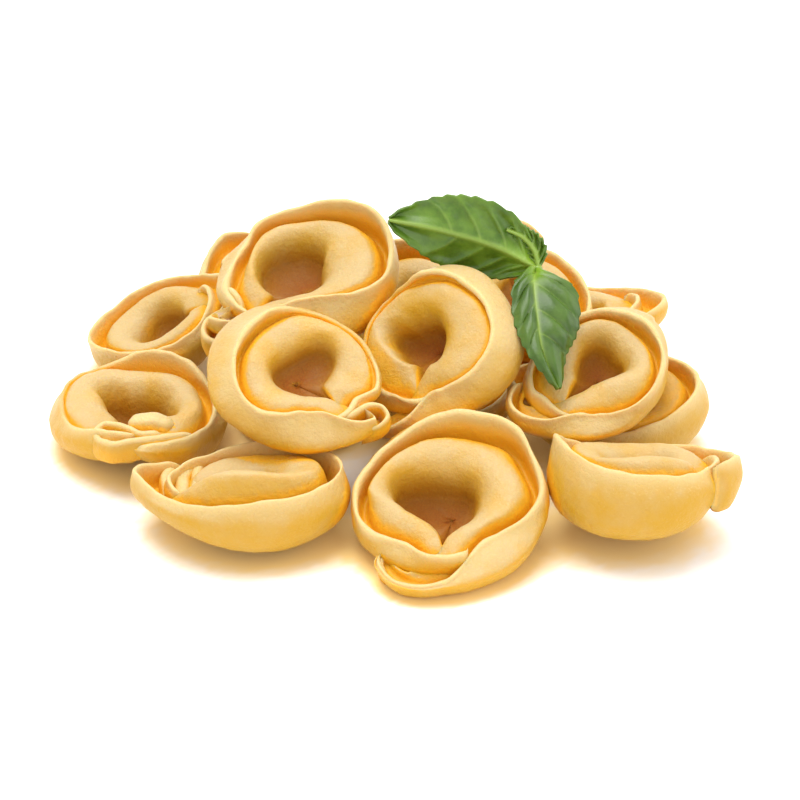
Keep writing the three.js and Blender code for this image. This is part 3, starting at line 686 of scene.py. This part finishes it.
def mottle_group():
    """Soft patches and fine grain, shared by the pasta and the leaves."""
    name = "Mottle"
    if name in bpy.data.node_groups:
        return bpy.data.node_groups[name]
    tree = bpy.data.node_groups.new(name, "ShaderNodeTree")
    for label, default in (("Patch Scale", 120.0), ("Grain Scale", 1400.0)):
        socket = tree.interface.new_socket(label, in_out="INPUT", socket_type="NodeSocketFloat")
        socket.default_value = default
    for label in ("Patches", "Grain"):
        tree.interface.new_socket(label, in_out="OUTPUT", socket_type="NodeSocketFloat")
    n = Nodes(tree)
    inputs = n.add("NodeGroupInput").outputs
    n.add("NodeGroupOutput", {0: n.noise(inputs[0], 3.0, 0.55), 1: n.noise(inputs[1], 2.0, 0.6)})
    return tree


def new_material(name):
    material = bpy.data.materials.new(name)
    material.use_nodes = True
    material.node_tree.nodes.clear()
    return material, Nodes(material.node_tree)


def pasta_material(colours):
    """Boiled egg dough: translucent, pale on its edges, with a deeper yellow that differs from piece to piece; with
    painted shade, orange in the furrows, folds and sheltered places and brown in the holes, and painted light on tops
    that face up.
    """
    material, n = new_material("Boiled dough")
    patches, grain = n.mottle(150, 2500)
    lip, furrow, hollow, tone, shelter, dry = (
        n.attribute(name) for name in ("lip", "furrow", "hollow", "tone", "shelter", "dry")
    )
    body = colours["body"]
    for share, colour in (
        (n.math("MULTIPLY", n.ramp(patches, 0.35, 0.68), 0.3), "light"),
        (n.math("MULTIPLY", tone, 0.25), "deep"),
        # Painted light: tops that face up are painted with the pale colour.
        (n.math("MULTIPLY", dry, n.ramp(patches, 0.3, 0.6, 0.5, 0.95)), "light"),
        # Painted shade: orange in the furrows, at the foot of the folds and where the pieces shelter each other.
        (n.math("MULTIPLY", furrow, 0.6), "deep"),
        (n.ramp(shelter, 0.1, 0.45, 0, 0.9), "deep"),
        (n.math("MULTIPLY", lip, 0.8), "edge"),
        # Painted highlights: fine pale glints in the grain, only on tops that face up.
        (n.math("MULTIPLY", n.ramp(grain, 0.52, 0.68), n.ramp(dry, 0, 0.8, 0.06, 0.24)), "edge"),
        # Painted shade: brown down the holes, darkest where they are sheltered.
        (n.math("MULTIPLY", hollow, n.ramp(shelter, 0.04, 0.4, 0.88, 1)), "shade"),
    ):
        body = n.blend(share, body, colours[colour])
    height = n.math("ADD", n.math("MULTIPLY", grain, 0.35), n.noise(900.0, 3.0, 0.6))
    n.finish({
        "Base Color": body,
        "Roughness": n.math("MULTIPLY_ADD", hollow, 0.3, n.ramp(patches, 0.3, 0.7, 0.4, 0.55)),
        "Normal": n.bump(height, 0.6, 0.00045),
        "Subsurface Weight": 0.35,
        "Subsurface Radius": (1.0, 0.55, 0.2),
        "Subsurface Scale": 0.0022,
        "Specular IOR Level": 0.22,
        "Coat Weight": n.math("MULTIPLY_ADD", hollow, -0.07, 0.08),
        "Coat Roughness": 0.28,
    })
    return material


def leaf_material(colours):
    """A basil leaf: glossy green between paler veins."""
    material, n = new_material("Basil leaf")
    patches, grain = n.mottle(260, 2600)
    vein, rib, tone, young = (n.attribute(name) for name in ("vein", "rib", "tone", "young"))
    body = n.blend(n.ramp(patches, 0.35, 0.65), colours["leaf"], colours["fresh"])
    for value, share, colour in (
        (tone, 0.7, "dark"), (young, 0.75, "young"), (vein, 0.4, "vein"), (rib, 0.8, "vein"),
    ):
        body = n.blend(n.math("MULTIPLY", value, share), body, colours[colour])
    height = n.math("ADD", n.math("MULTIPLY", grain, 0.5), patches)
    n.finish({
        "Base Color": body,
        "Roughness": n.ramp(patches, 0.3, 0.7, 0.28, 0.42),
        "Normal": n.bump(height, 0.3, 0.0003),
        "Subsurface Weight": 0.15,
        "Subsurface Radius": (0.4, 1.0, 0.2),
        "Subsurface Scale": 0.0008,
        "Specular IOR Level": 0.4,
    })
    return material


def colour_setting(name, description, default):
    return bpy.props.FloatVectorProperty(
        name=name, description=description, subtype="COLOR", size=4, min=0, max=1, default=default
    )


def size_setting(name, description, default, low, high, **kind):
    return bpy.props.FloatProperty(name=name, description=description, default=default, min=low, max=high, **kind)


def colours_of(settings, names):
    return {name: tuple(getattr(settings, name)) for name in names}


# ---- The pasta ----
BROAD_WRINKLES = 130  # wrinkles in a metre
SMALL_WRINKLES = 420
SMALL_SHARE = 0.45  # their height, as a share of that of the broad ones
FOLD_WAVE = 0.3  # height of the unevenness along a fold
FOLD_WAVES = 0.35  # of it in a millimetre


class PastaSettings(bpy.types.PropertyGroup):
    body: colour_setting("Dough", "Colour of the dough", srgb(184, 141, 36))
    # The pale colour is both paler patches of the dough and painted light on tops that face up.
    light: colour_setting("Pale dough", "Colour of its paler patches", srgb(184, 158, 108))
    # The fold colour is a deeper yellow that differs from piece to piece, and also painted shade in the furrows, at the
    # foot of the folds and where the pieces shelter each other.
    deep: colour_setting("Folds", "Colour in the furrows and folds", srgb(222, 162, 28))
    # Painted shade in the holes, and on the sheet that closes them at the bottom.
    shade: colour_setting("Holes", "Colour inside the holes", srgb(124, 62, 0))
    # The edge colour is the paler thin edges of the dough, and also painted glints on tops that face up.
    edge: colour_setting("Edges", "Colour of the thin edges", srgb(202, 180, 126))
    wrinkles: size_setting("Wrinkles", "Height of the soft wrinkles in the dough", 0.00028, 0, 0.002, unit="LENGTH")


class PASTA_OT_tortellini(bpy.types.Operator):
    """Add the tortellini, each one in the place of its solid"""

    bl_idname = "pasta.tortellini"
    bl_label = "Add Tortellini"

    def execute(self, context):
        settings = context.scene.pasta_settings
        material = pasta_material(colours_of(settings, ("body", "light", "deep", "shade", "edge")))
        made = []
        for index, (name, knot, lean, tilt, size, phase, own) in enumerate(PIECES):
            shape = {**PLAIN, "knot": knot, "lean": lean, "tilt": tilt, "size": size, "phase": phase, **own}
            node = "tortellino_" + name
            turned, place = turn_of(shape), place_of(shape, node)
            tone = 0.5 + 0.5 * sin(2.4 * index + 1)
            obj = self.tortellino(name, {**shape, **shape["dress"]}, turned, place, tone)
            self.wrinkle(obj, shape, settings.wrinkles)
            finish_piece(obj, node, material)
            made.append(obj)
            for k, fold in enumerate(shape["folds"]):
                obj = self.fold("fold_%s_%d" % (name, k + 1), shape, turned, place, fold)
                self.wrinkle(obj, shape, settings.wrinkles)
                finish_piece(obj, node, material)
                made.append(obj)
        shelter_values(made, made, REACH, RAYS)
        return {"FINISHED"}

    def tortellino(self, name, shape, turned, place, tone):
        rows = STATIONS_OVER + STATIONS_UNDER
        stations = [dressed_station(step, shape) for step in range(rows + 1)]

        def place_at(column, row):
            own, lip, furrow, hollow = stations[row][column % AROUND]
            return turned @ own + place, dict(lip=lip, furrow=furrow, hollow=hollow, tone=tone)

        obj = swept_grid("dressed_" + name, AROUND, rows, place_at)
        close_strip(obj)
        return obj

    def fold(self, name, shape, turned, place, fold):
        """A narrow fold of dough that stands on edge along a line on the piece."""
        thickness, depth, points = fold
        line = [ring_place(r, z, radians(direction - shape["knot"]), shape) for direction, r, z in points]
        length = sum((b - a).length for a, b in zip(line, line[1:]))
        frames = []
        for step in range(FOLD_STEPS + 1):
            t = step / FOLD_STEPS
            centre, along = curve_place(line, t)
            left = min(t, 1 - t) * length
            keep = sqrt(max(0.02, 1 - (1 - min(1, left / ROUNDING)) ** 2))
            frames.append((centre, square_to(along.cross(Vector((0, 0, 1))), along), keep))

        def place_at(column, row):
            centre, aside, keep = frames[row]
            a = column / FOLD_AROUND * 2 * pi
            across = copysign(abs(cos(a)) ** 0.7, cos(a)) * thickness / 2
            down = 0.5 - 0.5 * copysign(abs(sin(a)) ** 0.85, sin(a))
            wave = FOLD_WAVE * noise.noise(centre * FOLD_WAVES)
            lower = wave - depth * (0.15 * (1 - keep) + down)
            own = centre + aside * across * keep * (1 + 0.3 * down) + Vector((0, 0, lower))
            # The fold's lip pales its edge; its furrow share paints shade on its lower part.
            lip, furrow = 1 - smoothstep(down, 0.02, 0.2), smoothstep(down, 0.15, 0.6)
            return turned @ own + place, dict(lip=lip, furrow=furrow, hollow=0.0, tone=0.5)

        obj = swept_grid(name, FOLD_AROUND, FOLD_STEPS, place_at)
        close_strip(obj)
        return obj

    def wrinkle(self, obj, shape, height):
        """Soft unevenness of the dough, and a flat rest where it lies on the table."""
        away = Vector((shape["phase"] * 0.1, 0, 0))
        normals = [v.normal.copy() for v in obj.data.vertices]
        for vertex, normal in zip(obj.data.vertices, normals):
            broad = noise.noise((vertex.co + away) * BROAD_WRINKLES)
            small = noise.noise((vertex.co + away) * SMALL_WRINKLES)
            vertex.co += normal * height * (broad + SMALL_SHARE * small)
            vertex.co.z = max(0.0, vertex.co.z)


# ---- The basil ----
HEAP_SHIFT = Vector((1.85, -12.634, 0))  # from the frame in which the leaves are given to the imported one
LEAF_NAMES = ("name", "length", "left", "right", "fold", "curl", "widest", "tone", "rib", "across")
LEAVES = named_rows(LEAF_NAMES, (
    (
        "leaf_long", 29, 7.6, 7.2, 0.16, 0.8, 0.48, 0.1,
        ((27, 16, 33.6), (19.5, 18.8, 36.6), (9.5, 20.6, 39.2), (-1, 20.8, 41.4)),
        ((0.25, 0.25, 0.94), (0.2, 0.3, 0.93)),
    ),
    (
        "leaf_hanging", 28, 8.2, 4.1, -0.2, -0.6, 0.4, 0.75,
        ((26.4, 15.4, 33.6), (26, 10.5, 34), (26.4, 3, 30.4), (27.2, -2.5, 26.4), (29.8, -7.2, 20.9)),
        ((0.95, 0.2, 0.1), (0.9, 0.3, -0.2)),
    ),
    (
        "leaf_small", 9, 2.2, 2, 0.3, 0, 0.4, 0.3,
        ((27, 16.2, 33.8), (26.3, 17.6, 36.4), (24.2, 19, 38.6), (21.2, 20.2, 39.7)),
        ((0.9, -0.2, -0.3), (0.7, -0.2, 0.4)),
    ),
))
STEM = ((27, 15.6, 34.2), (26.4, 17.2, 32.2), (25, 19.6, 29.4))
STEM_RADIUS = 1.0
STEM_AROUND = 20
STEM_ROWS = 12
LEAF_THICKNESS = 0.45
LEAF_COLUMNS = 48
LEAF_ROWS = 144
VEIN_WIDTH = 0.2
TEETH = 11
TOOTH = 0.55
PUFF = 0.85  # height of the leaf's swellings between its veins


def curve_place(points, t):
    """Place and direction at t on a smooth curve through the points."""
    points = [Vector(p) for p in points]
    points = [2 * points[0] - points[1]] + points + [2 * points[-1] - points[-2]]
    spans = len(points) - 3
    position = min(max(t, 0.0), 1.0) * spans
    i = min(int(position), spans - 1)
    u = position - i
    a, b, c, d = points[i : i + 4]
    knots = [0.0]
    for p, q in ((a, b), (b, c), (c, d)):
        knots.append(knots[-1] + sqrt((q - p).length))
    s = mix(knots[1], knots[2], u)

    def at(s):
        def between(p, q, low, high):
            return p * ((high - s) / (high - low)) + q * ((s - low) / (high - low))

        ab, bc, cd = between(a, b, *knots[0:2]), between(b, c, *knots[1:3]), between(c, d, *knots[2:4])
        abc, bcd = between(ab, bc, knots[0], knots[2]), between(bc, cd, knots[1], knots[3])
        return between(abc, bcd, knots[1], knots[2])

    step = 1e-3 * (knots[2] - knots[1])
    return at(s), (at(s + step) - at(s - step)).normalized()


def square_to(vector, along):
    return (vector - along * vector.dot(along)).normalized()


def frames_along(points, rows, first, last):
    """At each row of a curve: its place, a direction that turns from first to last, and the one square to both."""
    frames = []
    for row in range(rows + 1):
        place, along = curve_place(points, row / rows)
        aside = square_to(Vector(first).lerp(Vector(last), row / rows), along)
        frames.append((place, aside, along.cross(aside)))
    return frames


def leaf_width(t, widest):
    s = 0.5 * t / widest if t < widest else 0.5 + 0.5 * (t - widest) / (1 - widest)
    return 0.06 + 0.94 * max(0.0, sin(pi * s)) ** 0.85


class BasilSettings(bpy.types.PropertyGroup):
    leaf: colour_setting("Leaf", "Colour of the leaves", srgb(68, 99, 21))
    fresh: colour_setting("Fresh patches", "Colour of their paler patches", srgb(90, 122, 30))
    dark: colour_setting("Dark leaf", "Colour of the older leaf", srgb(38, 62, 15))
    vein: colour_setting("Veins", "Colour of the veins", srgb(128, 152, 60))
    young: colour_setting("Young leaf", "Colour near the stem", srgb(132, 168, 38))
    veins: bpy.props.IntProperty(
        name="Side veins", description="Side veins on each side of a leaf", default=4, min=3, max=12
    )


class PASTA_OT_basil(bpy.types.Operator):
    """Add the sprig of basil that lies on the heap"""

    bl_idname = "pasta.basil"
    bl_label = "Add Basil"

    def execute(self, context):
        settings = context.scene.basil_settings
        material = leaf_material(colours_of(settings, ("leaf", "fresh", "dark", "vein", "young")))
        for leaf in LEAVES:
            obj = self.leaf(leaf, settings.veins)
            finish_piece(obj, "basil_sprig", material)
        finish_piece(self.stem(), "basil_sprig", material)
        return {"FINISHED"}

    def leaf(self, leaf, veins):
        frames = frames_along(leaf["rib"], LEAF_ROWS, *leaf["across"])

        def place_at(column, row):
            t = row / LEAF_ROWS
            u = column / LEAF_COLUMNS * 2 - 1
            place, aside, normal = frames[row]
            half = leaf["left"] if u > 0 else leaf["right"]
            ratchet = (t * TEETH + 0.3 * sin(9 * t)) % 1
            tooth = TOOTH * (ratchet if ratchet < 0.75 else (1 - ratchet) * 3) * smoothstep(abs(u), 0.75, 1)
            tooth *= smoothstep(t, 0.1, 0.25) * (1 - smoothstep(t, 0.94, 1.0))
            reach = u * half * leaf_width(t, leaf["widest"]) + copysign(tooth, u)
            away, between = self.from_veins(t, u, veins)
            vein = exp(-((away * leaf["length"] / VEIN_WIDTH) ** 2)) * (1 - 0.75 * abs(u))
            rib = exp(-((abs(reach) / mix(0.5, 0.28, t)) ** 2))
            puff = PUFF * between * smoothstep(abs(u), 0.02, 0.4) * (1 - smoothstep(abs(u), 0.7, 1))
            rise = leaf["fold"] * abs(reach) + leaf["curl"] * sin(2.4 * pi * t + 2 * u) * abs(u)
            rise += puff - 0.3 * rib
            young = 1 - smoothstep(t + 0.25 * abs(u), 0.02, 0.42)
            own = place + HEAP_SHIFT + aside * reach + normal * rise
            return own, dict(vein=vein, rib=rib, tone=leaf["tone"], young=young)

        obj = swept_grid(leaf["name"], LEAF_COLUMNS, LEAF_ROWS, place_at)
        solid = obj.modifiers.new("Thickness", "SOLIDIFY")
        solid.thickness = LEAF_THICKNESS * MM
        solid.offset = 0
        solid.use_rim = True
        bpy.ops.object.modifier_apply(modifier=solid.name)
        bpy.ops.object.mode_set(mode="EDIT")
        bpy.ops.mesh.select_all(action="SELECT")
        bpy.ops.mesh.normals_make_consistent(inside=False)
        bpy.ops.object.mode_set(mode="OBJECT")
        return obj

    def from_veins(self, t, u, veins):
        """Share of the leaf's length to the nearest side vein, and how far up the swelling between two of them."""
        late = 0.04 if u > 0 else 0
        places = [-0.15] + [
            0.06 + late + 0.7 * k / veins + (0.26 - 0.1 * k / veins) * abs(u) ** 1.3 for k in range(veins)
        ] + [1.15]
        above = next(k for k, place in enumerate(places) if place > t)
        low, high = places[above - 1], places[above]
        share = (t - low) / (high - low)
        return min(abs(t - low), abs(high - t)), (4 * share * (1 - share)) ** 0.7

    def stem(self):
        frames = frames_along(STEM, STEM_ROWS, (1, 0, 0), (1, 0, 0))

        def place_at(column, row):
            place, aside, other = frames[row]
            a = column / STEM_AROUND * 2 * pi
            t = row / STEM_ROWS
            radius = STEM_RADIUS * sqrt(max(0.02, 1 - abs(2 * t - 1) ** 8)) * (1 + 0.08 * sin(5 * t + a))
            own = place + HEAP_SHIFT + aside * radius * cos(a) + other * radius * sin(a)
            return own, dict(vein=0.4, rib=0.9, tone=0.0, young=0.8)

        obj = swept_grid("basil_stem", STEM_AROUND, STEM_ROWS, place_at)
        close_strip(obj)
        return obj


# ---- The stage ----
# Lengths of the stage are metres, where no other unit is named.
TABLE_CELLS = 180
TABLE_NEAR = 0.12  # half of the width in which its faces are small
TABLE_FAR = 3
TABLE_REACH = 0.03
TABLE_RAYS = 90
WORLD_COLOUR = (1.0, 0.995, 0.985, 1)
WORLD_STRENGTH = 1.16
TARGET = Vector((0.002, -0.011, 0.015))  # at which the lights point
LIGHTS = (  # name, place, watts and width
    ("overhead", (-0.1, 0.14, 0.9), 8.6, 0.7),
    ("front fill", (0.3, -0.8, 0.4), 1.7, 0.6),
    ("right fill", (0.8, 0.1, 0.4), 1.5, 0.5),
)
SENSOR = 36  # width in millimetres
AIM = Vector((1.1, 0, 14.5))  # of the camera, from the heap's shift, in millimetres


class StageSettings(bpy.types.PropertyGroup):
    elevation: size_setting(
        "Elevation", "Height of the camera above the table's plane", radians(30), 0, pi / 2, subtype="ANGLE"
    )
    distance: size_setting("Distance", "From the camera to the heap", 0.52, 0.2, 5, unit="LENGTH")
    lens: size_setting("Lens", "Focal length", 126, 20, 300, unit="CAMERA")
    glow: size_setting("Glow", "Light that comes up through the table, which keeps the shadows faint", 0.05, 0, 2)
    table: colour_setting("Table", "Colour of the table", (0.94, 0.93, 0.9, 1))
    # Painted shadow: the table is painted golden close to the dough, with painted light thrown back from it.
    golden: colour_setting(
        "Table by the dough", "Colour of the table close to the dough, with the light that falls from it",
        (0.96, 0.72, 0.3, 1),
    )


class PASTA_OT_stage(bpy.types.Operator):
    """Add the pale table, the soft lights and the camera"""

    bl_idname = "pasta.stage"
    bl_label = "Add Stage"

    def execute(self, context):
        settings = context.scene.stage_settings
        scene = context.scene
        floor = add_grid("table", TABLE_CELLS, TABLE_CELLS)
        for vertex in floor.data.vertices:
            vertex.co = [self.table_place(share) for share in vertex.co]
        pieces = [o for o in scene.objects if o.name.startswith(("dressed_", "fold_"))]
        shelter_values([floor], pieces, TABLE_REACH, TABLE_RAYS)
        material, n = new_material("Pale table")
        # Painted shadow, golden with painted light thrown back from the dough, where the dough shelters the table; the
        # table also glows in the same colour though it is no lamp.
        near = n.ramp(n.attribute("shelter"), 0.24, 0.6)
        colour = n.blend(near, tuple(settings.table), tuple(settings.golden))
        n.finish({
            "Base Color": colour,
            "Roughness": 0.55,
            "Specular IOR Level": 0.1,
            "Emission Color": colour,
            "Emission Strength": settings.glow,
        })
        floor.data.materials.append(material)
        world = bpy.data.worlds.new("Soft studio")
        world.use_nodes = True
        background = world.node_tree.nodes["Background"]
        background.inputs["Color"].default_value = WORLD_COLOUR
        background.inputs["Strength"].default_value = WORLD_STRENGTH
        scene.world = world
        for name, place, power, size in LIGHTS:
            bpy.ops.object.light_add(type="AREA", location=place)
            light = bpy.context.object
            light.name = name
            light.data.energy = power
            light.data.size = size
            light.rotation_euler = (TARGET - Vector(place)).to_track_quat("-Z", "Y").to_euler()
        bpy.ops.object.camera_add()
        camera = bpy.context.object
        camera.name = "camera"
        camera.data.lens = settings.lens
        camera.data.sensor_width = SENSOR
        camera.data.clip_start = 0.01
        aim = (HEAP_SHIFT + AIM) * MM
        back = Vector((0, -cos(settings.elevation), sin(settings.elevation)))
        camera.location = aim + back * settings.distance
        camera.rotation_euler = (-back).to_track_quat("-Z", "Y").to_euler()
        scene.camera = camera
        scene.view_settings.view_transform = "Standard"
        scene.view_settings.look = "None"
        return {"FINISHED"}

    def table_place(self, share):
        """Close together by the heap, and far apart near the table's edges."""
        return TABLE_NEAR * share + copysign(TABLE_FAR * max(0.0, (abs(share) - 0.9) / 0.1) ** 3, share)


class PASTA_PT_panel(bpy.types.Panel):
    """Everything that makes the heap"""

    bl_idname = "PASTA_PT_panel"
    bl_label = "Tortellini"
    bl_space_type = "VIEW_3D"
    bl_region_type = "UI"
    bl_category = "Pasta"

    def draw(self, context):
        for operator, group in (
            ("pasta.tortellini", "pasta_settings"),
            ("pasta.basil", "basil_settings"),
            ("pasta.stage", "stage_settings"),
        ):
            self.layout.operator(operator)
            settings = getattr(context.scene, group)
            for name in settings.bl_rna.properties.keys():
                if name not in ("rna_type", "name"):
                    self.layout.prop(settings, name)


SETTINGS = {"pasta_settings": PastaSettings, "basil_settings": BasilSettings, "stage_settings": StageSettings}
CLASSES = (*SETTINGS.values(), PASTA_OT_tortellini, PASTA_OT_basil, PASTA_OT_stage, PASTA_PT_panel)


def register():
    for made in CLASSES:
        bpy.utils.register_class(made)
    for name, group in SETTINGS.items():
        setattr(bpy.types.Scene, name, bpy.props.PointerProperty(type=group))


def unregister():
    for name in SETTINGS:
        delattr(bpy.types.Scene, name)
    for made in reversed(CLASSES):
        bpy.utils.unregister_class(made)


def main():
    register()
    bpy.ops.pasta.tortellini()
    bpy.ops.pasta.basil()
    bpy.ops.pasta.stage()


if __name__ == "__main__":
    main()
